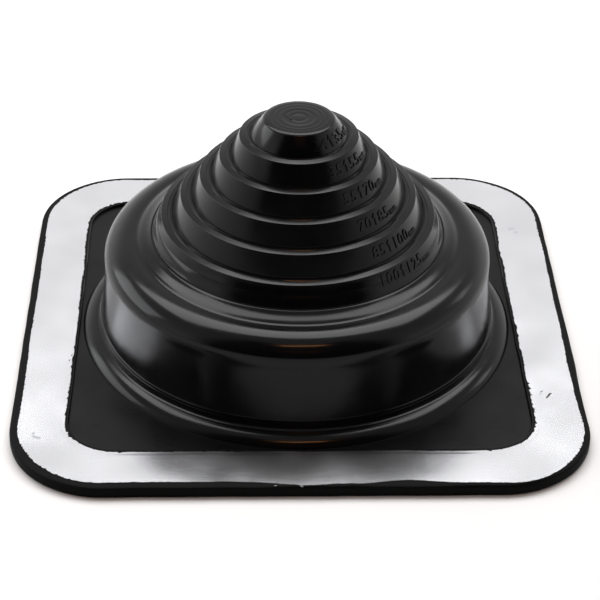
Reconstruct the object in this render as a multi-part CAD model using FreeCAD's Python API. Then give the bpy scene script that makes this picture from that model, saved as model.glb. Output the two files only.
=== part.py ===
"""Pipe flashing boot: a one-piece rubber moulding with an aluminium fixing strip moulded into its flange.

Millimetres, +Z up. The origin is on the turret's axis, in the plane of the sealing ribs' tips, which is
the roof's plane. The flange's sides run along X and Y.
"""
import FreeCAD, Part
import math
import os

Vector = FreeCAD.Vector

# flange: a rounded square of rubber, with a lower panel inside the strip
flange_half = 101.5
flange_corner = 34.0
flange_top = 4.5
panel_top = 3.3
flange_underside = 1.1
flange_bevel_top = 0.8
flange_bevel_bottom = 0.5

# aluminium strip: a flat rounded-square frame, moulded in flush with the flange's rim
strip_outer_half = 99.1
strip_outer_corner = 31.6
strip_inner_half = 81.9
strip_inner_corner = 18.0
strip_thickness = 0.8

# narrow rubber bead that grips the strip's inner edge
bead_width = 1.1

# sealing ribs under the flange: three square ones, one at the rim and a round one at the mouth
rib_width = 1.6
rib_halves = (95.0, 88.5, 82.0)
rib_corner_least = 12.0
rim_rib_width = 2.6
mouth_rib_radius = 74.0

# turret foot: a raised roll that stands on the panel, and the crease above it
foot_radius = 79.8
foot_top = 6.5
foot_round = 3.1
crease_radius = 74.0
crease_height = 6.85

# turret wall: flared at the foot, slightly waisted, with a rolled shoulder
wall_foot_radius = 73.4
wall_foot_height = 8.2
waist_radius = 70.4
waist_height = 29.5
shoulder_radius = 71.1
shoulder_top = 40.3
shoulder_round = 5.0
shoulder_slope = 6.0
turret_wall = 2.8

# trough between the shoulder and the cone
rise_radius = 62.3
rise_height = 40.0
trough_radius = 57.7
trough_height = 39.2
trough_width = 1.6

# stepped cone: each tier is a steep band that ends on a flat ledge, whose lip is a cutting line
tier_lips = 5
first_lip_radius = 21.25
first_lip_height = 82.2
tier_run = 7.1
tier_drop = 7.85
ledge_width = 3.85
ledge_rise = 0.3
cone_foot_radius = 52.2
cone_foot_height = 42.5
cap_radius = 13.2
cap_height = 89.1

# the cone's inner face is the outer one, moved in and down by these
cone_wall_run = 1.9
cone_wall_drop = 2.2

# a roll's round is turned as this many bands to a quarter turn
roll_bands = 4

# how far a cutting tool reaches past the face it cuts
overcut = 2.0


def roll_corners(radius, height, rounding, first_angle=90.0):
    """Corners of a roll whose widest point is at this radius and whose crest is at this height.

    They run outward and down from first_angle, in degrees above the horizontal.
    """
    middle_radius = radius - rounding
    middle_height = height - rounding
    corners = []
    for band in range(roll_bands + 1):
        angle = math.radians(first_angle * (1 - band / roll_bands))
        outward = rounding * math.cos(angle)
        upward = rounding * math.sin(angle)
        corners.append((middle_radius + outward, middle_height + upward))
    return corners


def cone_corners():
    """Corners of the stepped cone, from its cap's edge to its foot."""
    corners = [(cap_radius, cap_height)]
    for tier in range(tier_lips):
        lip_radius = first_lip_radius + tier * tier_run
        lip_height = first_lip_height - tier * tier_drop
        corners.append((lip_radius - ledge_width, lip_height + ledge_rise))
        corners.append((lip_radius, lip_height))
    corners.append((cone_foot_radius, cone_foot_height))
    return corners


def outer_corners():
    """Corners of the turret's outer face, from the middle of the cap down to the flange."""
    return [(0, cap_height)] + cone_corners() + [
        (trough_radius - trough_width / 2, trough_height),
        (trough_radius + trough_width / 2, trough_height),
        (rise_radius, rise_height),
    ] + roll_corners(shoulder_radius, shoulder_top, shoulder_round, 90 - shoulder_slope) + [
        (waist_radius, waist_height),
        (wall_foot_radius, wall_foot_height),
        (crease_radius, crease_height),
    ] + roll_corners(foot_radius, foot_top, foot_round) + [(foot_radius, flange_underside)]


def inner_corners():
    """Corners of the turret's inner face, from the middle of the cap down to the open mouth."""
    cone = [(radius - cone_wall_run, height - cone_wall_drop) for radius, height in cone_corners()]
    shoulder_inside = shoulder_radius - turret_wall
    return [(0, cap_height - cone_wall_drop)] + cone + [
        (trough_radius, trough_height - cone_wall_drop),
        (shoulder_inside - shoulder_round / 2, shoulder_top - turret_wall),
        (shoulder_inside, shoulder_top - shoulder_round),
        (waist_radius - turret_wall, waist_height),
        (wall_foot_radius - turret_wall, foot_top),
        (wall_foot_radius - turret_wall, flange_underside),
    ]


def make_turret():
    """The hollow turret and cone, one wall revolved about the axis."""
    section_corners = outer_corners() + list(reversed(inner_corners()))
    points = [Vector(radius, 0, height) for radius, height in section_corners]
    section = Part.Face(Part.makePolygon(points + points[:1]))
    return section.revolve(Vector(0, 0, 0), Vector(0, 0, 1), 360)


def rounded_square(half, corner, bottom, top):
    """A square plate with rounded corners."""
    side = half - corner
    bend_middle = side + corner * math.sqrt(0.5)
    edges = []
    for quarter in range(4):
        turn = FreeCAD.Rotation(Vector(0, 0, 1), 90 * quarter)
        near = turn.multVec(Vector(half, -side, bottom))
        far = turn.multVec(Vector(half, side, bottom))
        middle = turn.multVec(Vector(bend_middle, bend_middle, bottom))
        following = turn.multVec(Vector(side, half, bottom))
        edges.append(Part.makeLine(near, far))
        edges.append(Part.Arc(far, middle, following).toShape())
    return Part.Face(Part.Wire(edges)).extrude(Vector(0, 0, top - bottom))


def square_frame(half, corner, width, bottom, top):
    """A rounded-square frame that reaches inward from half by width."""
    hole = rounded_square(half - width, corner - width, bottom - overcut, top + overcut)
    return rounded_square(half, corner, bottom, top).cut(hole)


def edges_at(shape, height):
    """The edges that lie flat at one height."""
    boxes = [(edge, edge.BoundBox) for edge in shape.Edges]
    return [edge for edge, box in boxes if box.ZMax - box.ZMin < 1e-4 and abs(box.ZMin - height) < 1e-4]


def make_strip():
    """The aluminium strip: a flat frame whose inner corners are tighter than its outer ones."""
    bottom = flange_top - strip_thickness
    blank = rounded_square(strip_outer_half, strip_outer_corner, bottom, flange_top)
    window = rounded_square(strip_inner_half, strip_inner_corner, bottom - overcut, flange_top + overcut)
    return blank.cut(window)


def make_plate():
    """The flange's plate: bevelled outside edges, a seat for the strip and a lower panel inside it."""
    plate = rounded_square(flange_half, flange_corner, 0, flange_top)
    plate = plate.makeChamfer(flange_bevel_top, edges_at(plate, flange_top))
    plate = plate.makeChamfer(flange_bevel_bottom, edges_at(plate, 0))
    panel_half = strip_inner_half - bead_width
    panel_corner = strip_inner_corner - bead_width
    above_panel = rounded_square(panel_half, panel_corner, panel_top, flange_top + overcut)
    return plate.cut(make_strip()).cut(above_panel)


def make_mouth():
    """The round opening under the turret."""
    radius = mouth_rib_radius - rib_width / 2
    return Part.makeCylinder(radius, flange_top + 2 * overcut, Vector(0, 0, -overcut))


def make_under_hollow():
    """What the moulding tool leaves empty under the flange, between the sealing ribs."""
    half = flange_half - rim_rib_width
    hollow = rounded_square(half, flange_corner - rim_rib_width, -overcut, flange_underside)
    for middle in rib_halves:
        half = middle + rib_width / 2
        corner = max(flange_corner - (flange_half - half), rib_corner_least)
        hollow = hollow.cut(square_frame(half, corner, rib_width, -2 * overcut, flange_underside + overcut))
    round_rib = Part.makeCylinder(
        mouth_rib_radius + rib_width / 2, flange_underside + 2 * overcut, Vector(0, 0, -2 * overcut))
    return hollow.cut(round_rib)


def make_boot():
    """The whole rubber moulding."""
    flange = make_plate().cut(make_under_hollow()).cut(make_mouth())
    return flange.fuse(make_turret()).removeSplitter()


def export(shape, node):
    """Write one solid as parts/NODE.step."""
    print(node, "solids", len(shape.Solids), "valid", shape.isValid(), "volume", round(shape.Volume, 1))
    shape.Solids[0].exportStep(os.path.join("parts", node + ".step"))


os.makedirs("parts", exist_ok=True)
export(make_boot(), "rubber_boot")
export(make_strip(), "aluminium_strip")
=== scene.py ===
import math
import bmesh
import bpy
from mathutils import Matrix, Vector, noise


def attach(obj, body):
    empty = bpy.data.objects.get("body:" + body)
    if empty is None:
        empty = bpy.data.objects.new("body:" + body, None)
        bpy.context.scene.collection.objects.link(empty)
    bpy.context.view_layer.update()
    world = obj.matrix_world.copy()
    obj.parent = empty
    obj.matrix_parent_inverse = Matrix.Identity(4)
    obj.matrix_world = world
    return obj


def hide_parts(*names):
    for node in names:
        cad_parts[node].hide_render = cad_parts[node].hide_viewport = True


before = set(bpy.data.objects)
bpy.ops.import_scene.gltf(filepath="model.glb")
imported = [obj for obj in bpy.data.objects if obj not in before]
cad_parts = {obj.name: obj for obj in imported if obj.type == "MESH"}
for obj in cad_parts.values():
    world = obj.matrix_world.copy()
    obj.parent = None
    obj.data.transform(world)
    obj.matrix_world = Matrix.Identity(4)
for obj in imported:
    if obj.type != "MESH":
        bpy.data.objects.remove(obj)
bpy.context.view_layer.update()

mm = 0.001


def smoothStep(low, high, value):
    part = min(max((value - low) / (high - low), 0.0), 1.0)
    return part * part * (3 - 2 * part)


def band(value, start, full, fade, end):
    # 1 between full and fade, 0 outside start and end
    return smoothStep(start, full, value) * (1 - smoothStep(fade, end, value))


def readOff(points, value, eased):
    # height at one place of a line through a few points, with straight or eased steps between them
    for (low, lowOut), (high, highOut) in zip(points[:-1], points[1:]):
        if value <= high:
            part = smoothStep(low, high, value) if eased else max((value - low) / (high - low), 0.0)
            return lowOut + (highOut - lowOut) * part
    return points[-1][1]


def wander(value, seed, wave):
    # slow random swing between about -1 and 1; wave is its length, in the units of value
    return 1.6 * noise.noise(Vector((value / wave, seed * 7.31, seed * 3.77)))


def squareReach(half, corner, angle):
    # distance from the axis to a rounded square, along one direction
    wide = max(abs(math.cos(angle)), abs(math.sin(angle)))
    narrow = min(abs(math.cos(angle)), abs(math.sin(angle)))
    side = half - corner
    if half * narrow / wide <= side:
        return half / wide
    total = side * (wide + narrow)
    return total + math.sqrt(max(total * total - 2 * side * side + corner * corner, 0.0))


def spinProfile(profile, steps):
    # profile is a list of (radius, height) in mm, turned once round the axis
    bm = bmesh.new()
    corners = [bm.verts.new((radius, 0, height)) for radius, height in profile]
    runs = [bm.edges.new(pair) for pair in zip(corners[:-1], corners[1:])]
    bmesh.ops.spin(bm, geom=corners + runs, cent=(0, 0, 0), axis=(0, 0, 1), angle=2 * math.pi,
                   steps=steps, use_merge=True, use_duplicate=False)
    bmesh.ops.remove_doubles(bm, verts=bm.verts, dist=0.0005)
    bmesh.ops.recalc_face_normals(bm, faces=bm.faces)
    return bm


def newObject(bm, name, material):
    mesh = bpy.data.meshes.new(name)
    bm.to_mesh(mesh)
    bm.free()
    mesh.materials.append(material)
    made = bpy.data.objects.new(name, mesh)
    bpy.context.scene.collection.objects.link(made)
    return made


def finishPiece(bm, name, material, sharp=35):
    # scales from mm to metres, shades smooth up to the given angle and adds the piece to the boot
    bmesh.ops.scale(bm, vec=(mm, mm, mm), verts=bm.verts)
    piece = newObject(bm, name, material)
    piece.data.shade_smooth()
    piece.data.set_sharp_from_angle(angle=math.radians(sharp))
    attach(piece, "root")
    return piece


def toLinear(hexColour):
    channels = [int(hexColour[i:i + 2], 16) / 255 for i in (1, 3, 5)]
    return [c / 12.92 if c <= 0.04045 else ((c + 0.055) / 1.055) ** 2.4 for c in channels] + [1.0]


def addNode(tree, kind, settings=None, **links):
    # settings go to the node, or to its inputs by name or number
    # links join other nodes' outputs to its inputs, by name or as Input0, Input1 and so on
    node = tree.nodes.new(kind)
    for key, value in (settings or {}).items():
        if isinstance(key, int) or key in node.inputs:
            node.inputs[key].default_value = value
        else:
            setattr(node, key, value)
    for key, output in links.items():
        name = key.replace("_", " ")
        tree.links.new(output, node.inputs[name] if name in node.inputs else node.inputs[int(name[5:])])
    return node


def newMaterial(name):
    material = bpy.data.materials.new(name)
    material.use_nodes = True
    tree = material.node_tree
    tree.nodes.clear()
    shader = addNode(tree, "ShaderNodeBsdfPrincipled")
    end = addNode(tree, "ShaderNodeOutputMaterial", Surface=shader.outputs["BSDF"])
    return material, tree, shader, end


rubberLook = {
    "colour": "#070708", "flowColour": "#0b0b0c", "ior": 1.27,
    "roughness": (0.13, 0.20),
    "smear": 16.0,                     # mm, size of the soft cloudy patches in the gloss
    "grain": 0.9,                      # mm, drawn coarser than the real 0.1 mm mould grain so that it shows
    "grainBump": (0.35, 0.012),        # strength, and depth in mm
    "swell": 22.0,                     # mm, slow unevenness of a thick moulded wall
    "swellBump": (0.5, 0.25),
    "panelHeights": (5.0, 3.6),        # mm, from the foot roll down to the flat panel
    "panelMatt": 0.14,                 # roughness that the flat panel adds
    "panelMirror": (0.5, 0.3),         # specular level of the turret and of the flat panel
}
# moulded EPDM rubber: black, smooth from a polished tool, so it mirrors the room softly
mouldedRubber, tree, shader, end = newMaterial("moulded EPDM rubber")
place = addNode(tree, "ShaderNodeTexCoord").outputs["Object"]
cloud = addNode(tree, "ShaderNodeTexNoise", {"Scale": 1 / (rubberLook["smear"] * mm), "Detail": 4.0,
                                             "Roughness": 0.55}, Vector=place)
gloss = addNode(tree, "ShaderNodeMapRange", {"From Min": 0.35, "From Max": 0.65,
                                             "To Min": rubberLook["roughness"][0],
                                             "To Max": rubberLook["roughness"][1]},
                Value=cloud.outputs["Fac"])
level = addNode(tree, "ShaderNodeSeparateXYZ", Vector=place)
panel = {"From Min": rubberLook["panelHeights"][0] * mm, "From Max": rubberLook["panelHeights"][1] * mm}
matt = addNode(tree, "ShaderNodeMapRange", panel | {"To Max": rubberLook["panelMatt"]},
               Value=level.outputs["Z"])
gloss = addNode(tree, "ShaderNodeMath", {"operation": "ADD"}, Input0=gloss.outputs["Result"],
                Input1=matt.outputs["Result"])       # the flat panel left the tool duller than the cone
mirror = addNode(tree, "ShaderNodeMapRange", panel | {"To Min": rubberLook["panelMirror"][0],
                                                      "To Max": rubberLook["panelMirror"][1]},
                 Value=level.outputs["Z"])
tone = addNode(tree, "ShaderNodeMix", {"data_type": "RGBA", 6: toLinear(rubberLook["colour"]),
                                       7: toLinear(rubberLook["flowColour"])}, Input0=cloud.outputs["Fac"])
grain = addNode(tree, "ShaderNodeTexNoise", {"Scale": 1 / (rubberLook["grain"] * mm), "Detail": 2.0},
                Vector=place)
grainBump = addNode(tree, "ShaderNodeBump", {"Strength": rubberLook["grainBump"][0],
                                             "Distance": rubberLook["grainBump"][1] * mm},
                    Height=grain.outputs["Fac"])
swell = addNode(tree, "ShaderNodeTexNoise", {"Scale": 1 / (rubberLook["swell"] * mm), "Detail": 1.0},
                Vector=place)
swellBump = addNode(tree, "ShaderNodeBump", {"Strength": rubberLook["swellBump"][0],
                                             "Distance": rubberLook["swellBump"][1] * mm},
                    Height=swell.outputs["Fac"], Normal=grainBump.outputs["Normal"])
tree.links.new(mirror.outputs["Result"], shader.inputs["Specular IOR Level"])
tree.links.new(tone.outputs[2], shader.inputs["Base Color"])
tree.links.new(gloss.outputs["Value"], shader.inputs["Roughness"])
tree.links.new(swellBump.outputs["Normal"], shader.inputs["Normal"])
shader.inputs["IOR"].default_value = rubberLook["ior"]

# trimmed EPDM edge: the cut outer face and torn flash are dull, without the mould's polish
trimmedLook = {"colour": "#060606", "roughness": 0.6, "specular": 0.06, "grain": 1.1,
               "grainBump": (0.5, 0.06)}
trimmedRubber, tree, shader, end = newMaterial("trimmed EPDM edge")
place = addNode(tree, "ShaderNodeTexCoord").outputs["Object"]
grain = addNode(tree, "ShaderNodeTexNoise", {"Scale": 1 / (trimmedLook["grain"] * mm), "Detail": 3.0},
                Vector=place)
cutBump = addNode(tree, "ShaderNodeBump", {"Strength": trimmedLook["grainBump"][0],
                                           "Distance": trimmedLook["grainBump"][1] * mm},
                  Height=grain.outputs["Fac"])
tree.links.new(cutBump.outputs["Normal"], shader.inputs["Normal"])
shader.inputs["Base Color"].default_value = toLinear(trimmedLook["colour"])
shader.inputs["Roughness"].default_value = trimmedLook["roughness"]
shader.inputs["Specular IOR Level"].default_value = trimmedLook["specular"]

aluminiumLook = {
    "colour": "#e5e5e8", "roughness": (0.18, 0.25),
    "line": 0.35, "lineStretch": 0.02, "lineBump": (0.12, 0.02),     # mm between the fine rolling lines
    "dent": 24.0, "dentBump": (0.5, 0.16),                           # mm, slow dents from handling
    "dish": 0.95, "dishAlong": (-104, -76),                          # mm, the near run dips inward
}
# rolled aluminium: soft mill-finished sheet, satin, with fine rolling lines and slow handling dents
rolledAluminium, tree, shader, end = newMaterial("rolled aluminium")
place = addNode(tree, "ShaderNodeTexCoord").outputs["Object"]
stretch = addNode(tree, "ShaderNodeMapping", {"Scale": (aluminiumLook["lineStretch"], 1.0, 1.0)},
                  Vector=place)
lines = addNode(tree, "ShaderNodeTexNoise", {"Scale": 1 / (aluminiumLook["line"] * mm), "Detail": 3.0},
                Vector=stretch.outputs["Vector"])
dents = addNode(tree, "ShaderNodeTexNoise", {"Scale": 1 / (aluminiumLook["dent"] * mm), "Detail": 2.0},
                Vector=place)
satin = addNode(tree, "ShaderNodeMapRange", {"From Min": 0.3, "From Max": 0.7,
                                             "To Min": aluminiumLook["roughness"][0],
                                             "To Max": aluminiumLook["roughness"][1]},
                Value=dents.outputs["Fac"])
lineBump = addNode(tree, "ShaderNodeBump", {"Strength": aluminiumLook["lineBump"][0],
                                            "Distance": aluminiumLook["lineBump"][1] * mm},
                   Height=lines.outputs["Fac"])
dentBump = addNode(tree, "ShaderNodeBump", {"Strength": aluminiumLook["dentBump"][0],
                                            "Distance": aluminiumLook["dentBump"][1] * mm},
                   Height=dents.outputs["Fac"], Normal=lineBump.outputs["Normal"])
across = addNode(tree, "ShaderNodeSeparateXYZ", Vector=place)
dish = addNode(tree, "ShaderNodeMapRange", {"interpolation_type": "SMOOTHSTEP",
                                            "From Min": aluminiumLook["dishAlong"][0] * mm,
                                            "From Max": aluminiumLook["dishAlong"][1] * mm,
                                            "To Min": aluminiumLook["dish"] * mm, "To Max": 0.0},
               Value=across.outputs["Y"])
dishBump = addNode(tree, "ShaderNodeBump", {"Strength": 1.0, "Distance": 1.0},
                   Height=dish.outputs["Result"], Normal=dentBump.outputs["Normal"])
tree.links.new(satin.outputs["Result"], shader.inputs["Roughness"])
tree.links.new(dishBump.outputs["Normal"], shader.inputs["Normal"])
shader.inputs["Base Color"].default_value = toLinear(aluminiumLook["colour"])
shader.inputs["Metallic"].default_value = 1.0
print("materials made")

flange = {
    "half": 101.4, "top": 4.45, "panel": 3.3, "underside": 1.1,
    "squareFrom": 80.05,               # inside this radius the boot is round, and outside it square
    "panelFrom": 80.2,
    "stripOuter": 99.1, "stripInner": 81.9, "seat": 3.65, "clear": 0.06,
    # the bead beside the strip: out from its foot and above its top, then its rounding at the strip
    "bead": 1.1, "beadSide": [(0.0, -1.13), (0.1, -0.25), (0.35, 0.0)], "beadRound": 0.3,
    # the rim: out and down to its top from the strip, then its outside down to the floor
    "rimRound": (0.4, 0.25),
    "rim": [(100.5, 4.43), (101.05, 4.15), (101.3, 3.55), (101.36, 1.2), (101.15, 0.45), (100.7, 0.0)],
    "rimRib": 2.6, "rimRibSide": [(0.4, 0.0), (0.1, 1.1)],
    # the square ribs underneath: half sizes, width, and one side as inward and height
    "ribs": (95.0, 88.5, 82.0), "ribWidth": 1.6, "ribSide": [(0.0, 1.1), (0.25, 0.1), (0.4, 0.0)],
    "mouth": 74.0, "mouthRound": 0.3,
    "trimmed": 99.3,                   # from here outwards the rubber is cut by hand
    # corner radius by half size on top; for the ribs, the rim's corner, its half size and the least corner
    "corners": [(80.1, 16.2), (80.8, 16.9), (81.9, 18.0), (99.1, 31.6), (101.5, 34.0)],
    "ribCorner": (34.0, 101.5, 12.0), "ribHigh": 2.0, "ribReach": 100.5,
}
# how far each edge wanders outward from its straight line, in mm, as (place along the side, outward)
edges = {
    "nearStrip": [(-75, -0.9), (-64, -0.6), (-50, -0.8), (-37, -0.8), (-20, -0.4), (3, 1.2), (16, 0.6),
                  (33, -0.9), (50, 0.4), (62, 1.0), (70, 0.4)],
    "leftStrip": [(-74, -0.7), (-40, -0.6), (0, -0.5), (40, -0.4), (69, 0.0)],
    "rightStrip": [(-70, 0.4), (-58, -0.3), (-48, -0.6), (-28, -0.9), (-8, -0.2), (20, -0.1)],
    "rightRim": [(-70, 0.0), (-44, -0.5), (-27, 0.0), (-6, -0.1), (20, -0.1)],
    "fall": 14,
    # half sizes over which a shift applies, and a random sway in mm with its length in degrees
    "outerBand": (93, 98.6, 99.4, 100.8), "outerSway": (0.25, 9),
    "innerBand": (80.3, 81.6, 82.4, 88), "innerSway": (0.35, 7),
    "rimFrom": (100.2, 101.0), "rimSway": (0.12, 6),
}


def alongSide(points, value):
    # the line eases from point to point and falls to zero past both ends
    first, last, fall = points[0][0], points[-1][0], edges["fall"]
    return readOff(points, value, True) * band(value, first - fall, first, last, last + fall)


def edgeWander(half, x, y):
    # outward shift in mm of whatever lies at this half size: strip edges and the hand-trimmed rim
    around = math.degrees(math.atan2(y, x))
    outerStrip = band(half, *edges["outerBand"])
    innerStrip = band(half, *edges["innerBand"])
    rim = smoothStep(*edges["rimFrom"], half)
    away = 0.0
    if y < 0 and abs(y) > abs(x):
        away += outerStrip * alongSide(edges["nearStrip"], x)
    if x < 0 and abs(x) >= abs(y):
        away += outerStrip * alongSide(edges["leftStrip"], y)
    if x > 0 and abs(x) >= abs(y):
        away += outerStrip * alongSide(edges["rightStrip"], y)
        away += rim * alongSide(edges["rightRim"], y)
    away += outerStrip * edges["outerSway"][0] * wander(around, 1, edges["outerSway"][1])
    away += innerStrip * edges["innerSway"][0] * wander(around, 2, edges["innerSway"][1])
    away -= rim * edges["rimSway"][0] * (1 + wander(around, 3, edges["rimSway"][1]))
    return away


def reachAt(half, height, angle):
    # distance from the axis to the flange's outline of this half size
    corner = readOff(flange["corners"], half, False)
    if height < flange["ribHigh"] and half < flange["ribReach"]:
        rimCorner, rimHalf, least = flange["ribCorner"]
        corner = max(rimCorner - (rimHalf - half), least)
    return squareReach(half, corner, angle)


def toSquare(bm):
    # turns the rings beyond the turret's foot from circles into rounded squares
    for vert in bm.verts:
        radius = vert.co.xy.length
        if radius > flange["squareFrom"]:
            angle = math.atan2(vert.co.y, vert.co.x)
            half = radius + edgeWander(radius, vert.co.x, vert.co.y)
            reach = reachAt(half, vert.co.z, angle)
            vert.co.xy = (reach * math.cos(angle), reach * math.sin(angle))


turret = {
    "steps": 448,
    "cap": (13.2, 89.1), "capEdge": 1.25, "firstLip": (21.25, 82.2), "lips": 5, "run": 7.1, "drop": 7.85,
    "ledge": 3.85, "rise": 0.3, "lastFoot": (52.1, 45.1),
    # radius and height above the cap's top: three fine rings, then the rounded edge
    "capFace": [(0, -0.12), (2.6, -0.11), (2.75, -0.13), (2.9, -0.1), (5.0, -0.08), (5.15, -0.1),
                (5.3, -0.07), (7.6, -0.05), (7.8, -0.08), (8.0, -0.05), (9.2, -0.03), (9.5, -0.09),
                (9.8, -0.05), (10.8, -0.1), (11.9, -0.2), (12.4, -0.36), (12.8, -0.64), (13.0, -0.9)],
    # out from the crease and above the ledge: a slot at its back and a fine groove along it
    "ledgeFace": [(-0.1, 0.5), (-0.02, -0.14), (0.18, -0.18), (0.36, -0.01), (1.25, 0.0), (1.4, -0.12),
                  (1.56, -0.01)],
    # the rounding from a ledge to the slope below it, inward and down as shares of its size
    "lipRound": 0.3, "lipFace": [(1, 0), (0.35, 0.12), (0.08, 0.42), (0, 1)],
    # a fine line near the cone's foot, then a crease and a hollow curve down to the trough
    "fineLine": [(51.04, 47.5), (50.98, 47.36), (51.17, 47.2)],
    "hollow": [(52.4, 44.4), (52.85, 43.65), (53.0, 43.45), (53.05, 42.85), (53.3, 42.72), (53.5, 42.95),
               (53.7, 42.9), (54.2, 42.55), (54.9, 42.2), (55.7, 41.85), (56.5, 41.58), (57.2, 41.32),
               (57.8, 41.05), (58.3, 40.79), (58.7, 40.62), (59.1, 40.54), (59.6, 40.52), (60.3, 40.54),
               (61.0, 40.57)],
    # the shoulder rolls over slowly at first and then tightly into the wall
    "shoulder": [(61.8, 40.55), (62.8, 40.48), (63.8, 40.3), (64.8, 40.02), (65.8, 39.62), (66.8, 39.1),
                 (67.8, 38.45), (68.7, 37.7), (69.5, 36.8), (70.15, 35.8), (70.6, 34.6), (70.75, 33.2)],
    # the wall, with two fine lines where it meets the foot
    "wall": [(70.7, 31.0), (70.72, 28.5), (71.5, 20.0), (72.9, 10.4), (73.05, 9.9), (73.2, 9.75),
             (73.3, 9.0), (73.45, 8.85), (73.55, 7.6), (73.8, 6.9), (74.3, 6.62)],
    "footRoll": [(74.7, 6.6), (75.2, 6.5), (75.9, 6.3), (76.6, 6.05), (77.3, 5.72), (78.0, 5.3), (78.7, 4.8),
                 (79.3, 4.2), (79.7, 3.7), (79.87, 3.32)],
    # the inside: how far the cone's hollow lies in and down from its face, and the wall below it
    "hollowIn": 1.9, "hollowDown": 2.2, "hollowRound": 0.3, "coneFoot": (52.2, 42.5), "hollowFoot": 80.0,
    "hollowWall": [(70.6, 1.5), (70.6, 6.5), (67.6, 29.5), (68.4, 35.1), (67.7, 36.6), (66.1, 37.4),
                   (57.7, 37.0)],
}


def lipAt(tier):
    return turret["firstLip"][0] + tier * turret["run"], turret["firstLip"][1] - tier * turret["drop"]


def outerProfile():
    capRadius, capTop = turret["cap"]
    points = [(radius, capTop + above) for radius, above in turret["capFace"]]
    points.append((capRadius, capTop - turret["capEdge"]))
    for tier in range(turret["lips"]):
        radius, height = lipAt(tier)
        points += [(radius - turret["ledge"] + out, height + turret["rise"] + above)
                   for out, above in turret["ledgeFace"]]
        points += [(radius - turret["lipRound"] * inward, height - turret["lipRound"] * down)
                   for inward, down in turret["lipFace"]]
    points += turret["fineLine"] + [turret["lastFoot"]] + turret["hollow"]
    return points + turret["shoulder"] + turret["wall"] + turret["footRoll"]


def flangeProfile():
    # from the panel across the bead, the strip's seat and the rim to the ribs underneath
    inner, outer, top, seat = flange["stripInner"], flange["stripOuter"], flange["top"], flange["seat"]
    clear, beadRound = flange["clear"], flange["beadRound"]
    rimOut, rimDown = flange["rimRound"]
    points = [(flange["panelFrom"], flange["panel"])]
    points += [(inner - flange["bead"] + out, top + above) for out, above in flange["beadSide"]]
    points += [(inner - beadRound, top), (inner - clear, top - beadRound), (inner - clear, seat)]
    points += [(inner + 4, seat), (outer - 4, seat), (outer + clear, seat)]
    points += [(outer + clear, top - rimDown), (outer + rimOut, top)] + flange["rim"]
    points += [(flange["half"] - flange["rimRib"] + out, height) for out, height in flange["rimRibSide"]]
    edge = flange["ribWidth"] / 2
    for middle in flange["ribs"]:
        points += [(middle + edge - inward, height) for inward, height in flange["ribSide"]]
        points += [(middle - edge + inward, height) for inward, height in reversed(flange["ribSide"])]
    return points


def innerProfile():
    # from the mouth rib up the hollow's wall to the underside of the cap
    mouth, edge, taper = flange["mouth"], flange["ribWidth"] / 2, flange["mouthRound"]
    inward, down, corner = turret["hollowIn"], turret["hollowDown"], turret["hollowRound"]
    points = [(turret["hollowFoot"], flange["underside"]), (mouth + edge, flange["underside"]),
              (mouth + edge - taper, 0.0), (mouth - edge + taper, 0.0), (mouth - edge, flange["underside"])]
    points += turret["hollowWall"] + [(turret["coneFoot"][0] - inward, turret["coneFoot"][1] - down)]
    for tier in reversed(range(turret["lips"])):
        radius, height = lipAt(tier)
        points += [(radius - inward, height - down - corner), (radius - inward - corner, height - down),
                   (radius - inward - turret["ledge"], height - down + turret["rise"])]
    radius, height = turret["cap"]
    return points + [(radius - inward, height - down - corner), (radius - inward - corner, height - down),
                     (0, height - down)]


bm = spinProfile(outerProfile() + flangeProfile() + innerProfile(), turret["steps"])
for face in bm.faces:
    if face.calc_center_median().xy.length > flange["trimmed"]:
        face.material_index = 1
toSquare(bm)
boot = finishPiece(bm, "rubberBoot", mouldedRubber)
boot.data.materials.append(trimmedRubber)
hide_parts("rubber_boot")
print("rubber boot", len(boot.data.polygons), "faces")

strip = {
    "top": 4.5, "bottom": 3.7, "edge": 0.12, "steps": 640,
    # out from the inner edge and above the top: the rounded edge and a low band beside it
    "innerFace": [(0.12, -0.05), (0.6, -0.04), (1.8, -0.04), (2.0, -0.01), (2.4, 0), (5, 0), (8.6, 0)],
    "outerFace": [5, 1.2, 0.6, 0.12],
}


def stripProfile():
    inner, outer = flange["stripInner"], flange["stripOuter"]
    top, bottom, edge = strip["top"], strip["bottom"], strip["edge"]
    points = [(inner, bottom), (inner, top - edge)]
    points += [(inner + out, top + above) for out, above in strip["innerFace"]]
    points += [(outer - inward, top) for inward in strip["outerFace"]]
    points += [(outer, top - edge), (outer, bottom)]
    return points + [(outer - 5, bottom), (inner + 5, bottom), (inner, bottom)]


bm = spinProfile(stripProfile(), strip["steps"])
toSquare(bm)
stripPiece = finishPiece(bm, "aluminiumStrip", rolledAluminium)
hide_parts("aluminium_strip")
print("aluminium strip", len(stripPiece.data.polygons), "faces")

flash = {
    "steps": 2400, "root": 0.5, "back": 0.1, "front": 0.06, "ridge": 4.6, "tip": 4.52,
    "tooth": 0.8, "slow": 11, "least": 0.12, "uneven": 0.8, "slowUneven": 0.35,
    # the inner edge is torn most near its two near corners: beyond this x and y, in mm
    "rough": 1.3, "roughFrom": (60, -35), "calm": 0.7,
}


def torn(x, y, half):
    # how far the ragged flash reaches over the strip at one place, in mm
    fine = noise.noise(Vector((x / flash["tooth"], y / flash["tooth"], half)))
    slow = noise.noise(Vector((x / flash["slow"], y / flash["slow"], half + 5.0)))
    nearCorner = abs(x) > flash["roughFrom"][0] and y < flash["roughFrom"][1]
    rough = flash["rough"] if nearCorner and half == flange["stripInner"] else flash["calm"]
    return max(0.0, flash["least"] + rough * (flash["uneven"] * fine + flash["slowUneven"] * slow))


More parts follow.
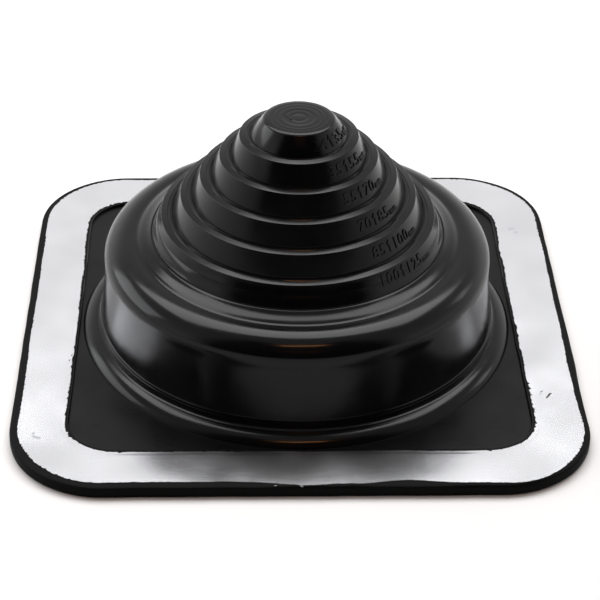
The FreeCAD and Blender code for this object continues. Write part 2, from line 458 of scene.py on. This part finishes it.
def addFlash(name, half, outward):
    # outward is 1 where the flash lies over the strip's inner edge and -1 over its outer edge
    bm = spinProfile([(half - outward * flash["root"], flange["top"]),
                      (half - outward * flash["back"], flash["ridge"]),
                      (half + outward * flash["front"], flash["tip"])], flash["steps"])
    for vert in bm.verts:
        radius = vert.co.xy.length
        if (radius - half) * outward > 0:
            angle = math.atan2(vert.co.y, vert.co.x)
            reach = reachAt(radius, vert.co.z, angle)
            further = torn(reach * math.cos(angle), reach * math.sin(angle), half)
            vert.co.xy *= (radius + outward * further) / radius
    toSquare(bm)
    finishPiece(bm, name, trimmedRubber)


addFlash("innerFlash", flange["stripInner"], 1)
addFlash("outerFlash", flange["stripOuter"], -1)
print("flash along both strip edges")

# raised pipe sizes on each tier: the smaller, an arrow stroke to cut along, then the larger
sizes = {
    "pairs": [("24", "35"), ("35", "55"), ("55", "70"), ("70", "85"), ("85", "100"), ("100", "125")],
    "azimuth": -45.0, "tall": 4.0, "unitTall": 2.2, "relief": 0.34, "sunk": 0.12, "gap": 1.8, "unitGap": 0.6,
    "stroke": 0.42, "head": 2.0, "headSlim": 1.8, "bold": 0.04, "spacing": 1.12,
    "digitShare": 0.69,                # a digit's height as a share of the font's size
}


def lift(bm, x, y):
    # shifts a flat shape along and up the slope, and leaves its back a little inside the rubber
    bmesh.ops.translate(bm, verts=bm.verts, vec=(x, y, (sizes["relief"] - sizes["sunk"]) / 2))
    return bm


def raisedText(words, tall, alignment, shift):
    # turns words into a flat mesh in mm that stands on the line y = 0
    curve = bpy.data.curves.new("words", "FONT")
    curve.body = words
    curve.size = tall / sizes["digitShare"]
    curve.align_x = alignment
    curve.space_character = sizes["spacing"]
    curve.extrude = (sizes["relief"] + sizes["sunk"]) / 2
    curve.offset = sizes["bold"]
    curve.resolution_u = 3
    holder = bpy.data.objects.new("words", curve)
    bpy.context.scene.collection.objects.link(holder)
    bpy.context.view_layer.update()
    mesh = bpy.data.meshes.new_from_object(holder)
    bpy.data.objects.remove(holder)
    bm = bmesh.new()
    bm.from_mesh(mesh)
    bpy.data.meshes.remove(mesh)
    return lift(bm, shift, 0)


def cutArrow():
    # an upright stroke with a three-sided head
    thick, head = sizes["relief"] + sizes["sunk"], sizes["head"]
    bm = bmesh.new()
    bmesh.ops.create_cube(bm, size=1)
    bmesh.ops.scale(bm, vec=(sizes["stroke"], sizes["tall"], thick), verts=bm.verts)
    point = bmesh.ops.create_cone(bm, cap_ends=True, segments=3, radius1=head / sizes["headSlim"],
                                  radius2=head / sizes["headSlim"], depth=thick)["verts"]
    bmesh.ops.translate(bm, verts=point, vec=(0, sizes["tall"] / 2 - head / 3, 0))
    return lift(bm, 0, sizes["tall"] / 2)


def tierFace(tier):
    # upper and lower ends of one tier's slope
    upper, lower = (turret["cap"][0], turret["cap"][1] - turret["capEdge"]), turret["lastFoot"]
    if tier > 0:
        radius, height = lipAt(tier - 1)
        upper = (radius, height - turret["lipRound"])
    if tier < turret["lips"]:
        radius, height = lipAt(tier)
        out, above = turret["ledgeFace"][0]
        lower = (radius - turret["ledge"] + out, height + turret["rise"] + above)
    return Vector(upper), Vector(lower)


def wrapOnTier(bm, tier):
    upper, lower = tierFace(tier)
    slope = (upper - lower).length
    up = (upper - lower) / slope
    out = Vector((up.y, -up.x))
    for vert in bm.verts:
        spot = lower + up * (vert.co.y + (slope - sizes["tall"]) / 2) + out * vert.co.z
        angle = math.radians(sizes["azimuth"]) + vert.co.x / ((upper.x + lower.x) / 2)
        vert.co = (spot.x * math.cos(angle), spot.x * math.sin(angle), spot.y)


numbers = bmesh.new()
for tier, (small, large) in enumerate(sizes["pairs"]):
    words = [raisedText(small, sizes["tall"], "RIGHT", -sizes["gap"]),
             raisedText(large, sizes["tall"], "LEFT", sizes["gap"])]
    widest = max(vert.co.x for vert in words[1].verts)
    words.append(raisedText("mm", sizes["unitTall"], "LEFT", widest + sizes["unitGap"]))
    for part in words + [cutArrow()]:
        wrapOnTier(part, tier)
        mesh = bpy.data.meshes.new("part")
        part.to_mesh(mesh)
        part.free()
        numbers.from_mesh(mesh)
        bpy.data.meshes.remove(mesh)
bmesh.ops.recalc_face_normals(numbers, faces=numbers.faces)
sizeNumbers = finishPiece(numbers, "sizeNumbers", mouldedRubber, sharp=30)
print("size numbers", len(sizeNumbers.data.polygons), "faces")

# handling marks, each as (x, y, length, width, turn in degrees), in mm
marks = {
    "scuffs": [(88.6, -51.6, 3.6, 0.8, 62), (89.3, -50.4, 1.5, 0.7, 30), (86.4, -49.2, 1.3, 0.4, 20),
               (85.8, -50.4, 0.7, 0.4, 80), (-83.2, -28.8, 1.3, 0.35, 80), (-82.6, -25.6, 1.0, 0.35, 60)],
    "smudges": [(88.4, 60.2, 2.6, 1.4, 20), (90.0, 57.4, 1.9, 1.3, 60), (-91.5, -73.6, 3.4, 1.3, -25),
                (-92.6, -71.6, 1.5, 0.9, 50)],
    "burrs": [(-9.4, -100.5, 1.0, 0.45, 20), (-0.7, -100.8, 1.4, 0.5, -25), (0.1, -100.4, 0.6, 0.4, 40)],
    "gate": [(-4.25, 0.2, 4.7, 0.22, -54), (-2.9, -1.7, 1.1, 0.8, -30)],
    "onStrip": 0.02, "burrHigh": 0.12, "inCap": 0.04, "corners": 14, "uneven": 0.25,
}


def addMarks(name, height, material):
    bm = bmesh.new()
    for x, y, length, width, turn in marks[name]:
        blot = bmesh.ops.create_circle(bm, cap_ends=True, segments=marks["corners"], radius=0.5)["verts"]
        for index, vert in enumerate(blot):
            vert.co *= 1 + marks["uneven"] * wander(index * 3.0, x, 7)
        bmesh.ops.scale(bm, verts=blot, vec=(length, width, 1))
        bmesh.ops.rotate(bm, verts=blot, cent=(0, 0, 0), matrix=Matrix.Rotation(math.radians(turn), 3, "Z"))
        bmesh.ops.translate(bm, verts=blot, vec=(x, y, height))
    bmesh.ops.recalc_face_normals(bm, faces=bm.faces)
    finishPiece(bm, name, material)


# scuffed aluminium: the bright skin is dulled, so the marks read as small dark dashes
scuffed, tree, shader, end = newMaterial("scuffed aluminium")
shader.inputs["Base Color"].default_value = toLinear("#4a4a4c")
shader.inputs["Roughness"].default_value = 0.6
shader.inputs["Metallic"].default_value = 0.6
# smudged aluminium: a faint grey greasy film from hands hides the sheet's shine
smudged, tree, shader, end = newMaterial("smudged aluminium")
shader.inputs["Base Color"].default_value = toLinear("#a6a9ae")
shader.inputs["Roughness"].default_value = 0.7
shader.inputs["Specular IOR Level"].default_value = 0.1
addMarks("scuffs", strip["top"] + marks["onStrip"], scuffed)
addMarks("smudges", strip["top"] + marks["onStrip"], smudged)
addMarks("burrs", strip["top"] + marks["burrHigh"], rolledAluminium)
addMarks("gate", turret["cap"][1] - marks["inCap"], trimmedRubber)
print("handling marks")

stage = {
    # brightness of the room by the sine of the height looked at
    "room": [(0.0, 1.3), (0.28, 1.2), (0.5, 0.84), (0.6, 0.8), (0.9, 0.5)],
    "floor": "#dadada", "floorHalf": 2.5,
    # the cloth behind the camera: degrees to each side and where it starts to thin, degrees up, metres away
    "cloth": "#050505", "clothReach": 62, "clothThins": 47, "clothTop": 73, "clothDistance": 1.3,
    "clothSteps": 32, "clothLift": 0.001,
    # azimuth from the camera's side, elevation, distance, width, height, brightness (1 = white), colour
    "boxes": {
        "leftBox": (-108, 23, 1.2, 0.8, 0.55, 3.7, "#fbfdff"),
        "rightBox": (112, 28.5, 1.2, 0.24, 0.24, 2.8, "#fbfdff"),
        "warmLamp": (4, 68, 1.1, 0.3, 0.04, 20.0, "#ffb070"),
        "warmGlow": (2, 42, 1.2, 0.42, 0.3, 0.4, "#c8704c"),
        "overhead": (180, 66, 1.2, 1.5, 0.69, 6.0, "#ffffff"),
    },
}
world = bpy.data.worlds.new("studio")
bpy.context.scene.world = world
world.use_nodes = True
sky = world.node_tree
looked = addNode(sky, "ShaderNodeSeparateXYZ", Vector=addNode(sky, "ShaderNodeTexCoord").outputs["Generated"])
ramp = addNode(sky, "ShaderNodeValToRGB", Fac=looked.outputs["Z"])
brightest = max(bright for height, bright in stage["room"])
for index, (height, bright) in enumerate(stage["room"]):
    stop = ramp.color_ramp.elements[index] if index < 2 else ramp.color_ramp.elements.new(height)
    stop.position = height
    stop.color = (bright / brightest,) * 3 + (1,)
sky.links.new(ramp.outputs["Color"], sky.nodes["Background"].inputs["Color"])
sky.nodes["Background"].inputs["Strength"].default_value = brightest

# pale studio floor: matt card, bright enough to read as white
paleCard, tree, shader, end = newMaterial("pale studio floor")
shader.inputs["Base Color"].default_value = toLinear(stage["floor"])
shader.inputs["Roughness"].default_value = 0.9
shader.inputs["Specular IOR Level"].default_value = 0.1
bm = bmesh.new()
bmesh.ops.create_grid(bm, x_segments=2, y_segments=2, size=stage["floorHalf"])
floor = newObject(bm, "floor", paleCard)

# black studio cloth: takes all light, and thins out towards its two sides
blackCloth, tree, shader, end = newMaterial("black studio cloth")
shader.inputs["Base Color"].default_value = toLinear(stage["cloth"])
shader.inputs["Roughness"].default_value = 1.0
shader.inputs["Specular IOR Level"].default_value = 0.0
place = addNode(tree, "ShaderNodeSeparateXYZ", Vector=addNode(tree, "ShaderNodeTexCoord").outputs["Object"])
forward = addNode(tree, "ShaderNodeMath", {"operation": "MULTIPLY", 1: -1.0}, Input0=place.outputs["Y"])
around = addNode(tree, "ShaderNodeMath", {"operation": "ARCTAN2"}, Input0=place.outputs["X"],
                 Input1=forward.outputs["Value"])
away = addNode(tree, "ShaderNodeMath", {"operation": "ABSOLUTE"}, Input0=around.outputs["Value"])
fade = addNode(tree, "ShaderNodeMapRange", {"From Min": math.radians(stage["clothThins"]),
                                            "From Max": math.radians(stage["clothReach"])},
               Value=away.outputs["Value"])
clear = addNode(tree, "ShaderNodeBsdfTransparent")
thinned = addNode(tree, "ShaderNodeMixShader", Input0=fade.outputs["Result"], Input1=shader.outputs["BSDF"],
                  Input2=clear.outputs["BSDF"])
tree.links.new(thinned.outputs["Shader"], end.inputs["Surface"])
reach, distance = math.radians(stage["clothReach"]), stage["clothDistance"]
heights = [math.radians(height) for height in range(stage["clothTop"] + 1)]
bm = bmesh.new()
rising = [bm.verts.new((distance * math.cos(height), 0, distance * math.sin(height))) for height in heights]
sides = [bm.edges.new(pair) for pair in zip(rising[:-1], rising[1:])]
bmesh.ops.rotate(bm, verts=rising, cent=(0, 0, 0), matrix=Matrix.Rotation(-math.pi / 2 - reach, 3, "Z"))
bmesh.ops.spin(bm, geom=rising + sides, cent=(0, 0, 0), axis=(0, 0, 1), angle=2 * reach,
               steps=stage["clothSteps"], use_merge=False, use_duplicate=False)
bmesh.ops.translate(bm, verts=bm.verts, vec=(0, 0, stage["clothLift"]))
flag = newObject(bm, "flag", blackCloth)
flag.visible_camera = False


def softBox(name, azimuth, elevation, distance, width, height, brightness, colour):
    azimuth, elevation = math.radians(azimuth), math.radians(elevation)
    lamp = bpy.data.objects.new(name, bpy.data.lights.new(name, "AREA"))
    bpy.context.scene.collection.objects.link(lamp)
    lamp.data.shape = "RECTANGLE"
    lamp.data.size, lamp.data.size_y = width, height
    lamp.data.energy = brightness * math.pi * width * height
    lamp.data.color = toLinear(colour)[:3]
    towards = Vector((math.sin(azimuth) * math.cos(elevation), -math.cos(azimuth) * math.cos(elevation),
                      math.sin(elevation)))
    lamp.location = towards * distance
    lamp.rotation_euler = towards.to_track_quat("Z", "Y").to_euler()
    lamp.visible_camera = False


for name, settings in stage["boxes"].items():
    softBox(name, *settings)

studio = {
    "lens": 116.26, "sensor": 36, "clip": (0.01, 20),
    "distance": 0.7269, "elevation": 34.33, "turn": 2.01, "roll": 0.92,
    "target": (1.309 * mm, -0.046 * mm, 11.0 * mm),
}
camera = bpy.data.objects.new("camera", bpy.data.cameras.new("camera"))
bpy.context.scene.collection.objects.link(camera)
camera.data.lens = studio["lens"]
camera.data.sensor_width = studio["sensor"]
camera.data.clip_start, camera.data.clip_end = studio["clip"]
elevation, turn = math.radians(studio["elevation"]), math.radians(studio["turn"])
toCamera = Vector((-math.sin(turn) * math.cos(elevation), -math.cos(turn) * math.cos(elevation),
                   math.sin(elevation)))
camera.location = Vector(studio["target"]) + toCamera * studio["distance"]
facing = toCamera.to_track_quat("Z", "Y").to_matrix().to_4x4()
camera.rotation_euler = (facing @ Matrix.Rotation(math.radians(studio["roll"]), 4, "Z")).to_euler()
bpy.context.scene.camera = camera
bpy.context.scene.view_settings.view_transform = "Standard"
print("stage set")
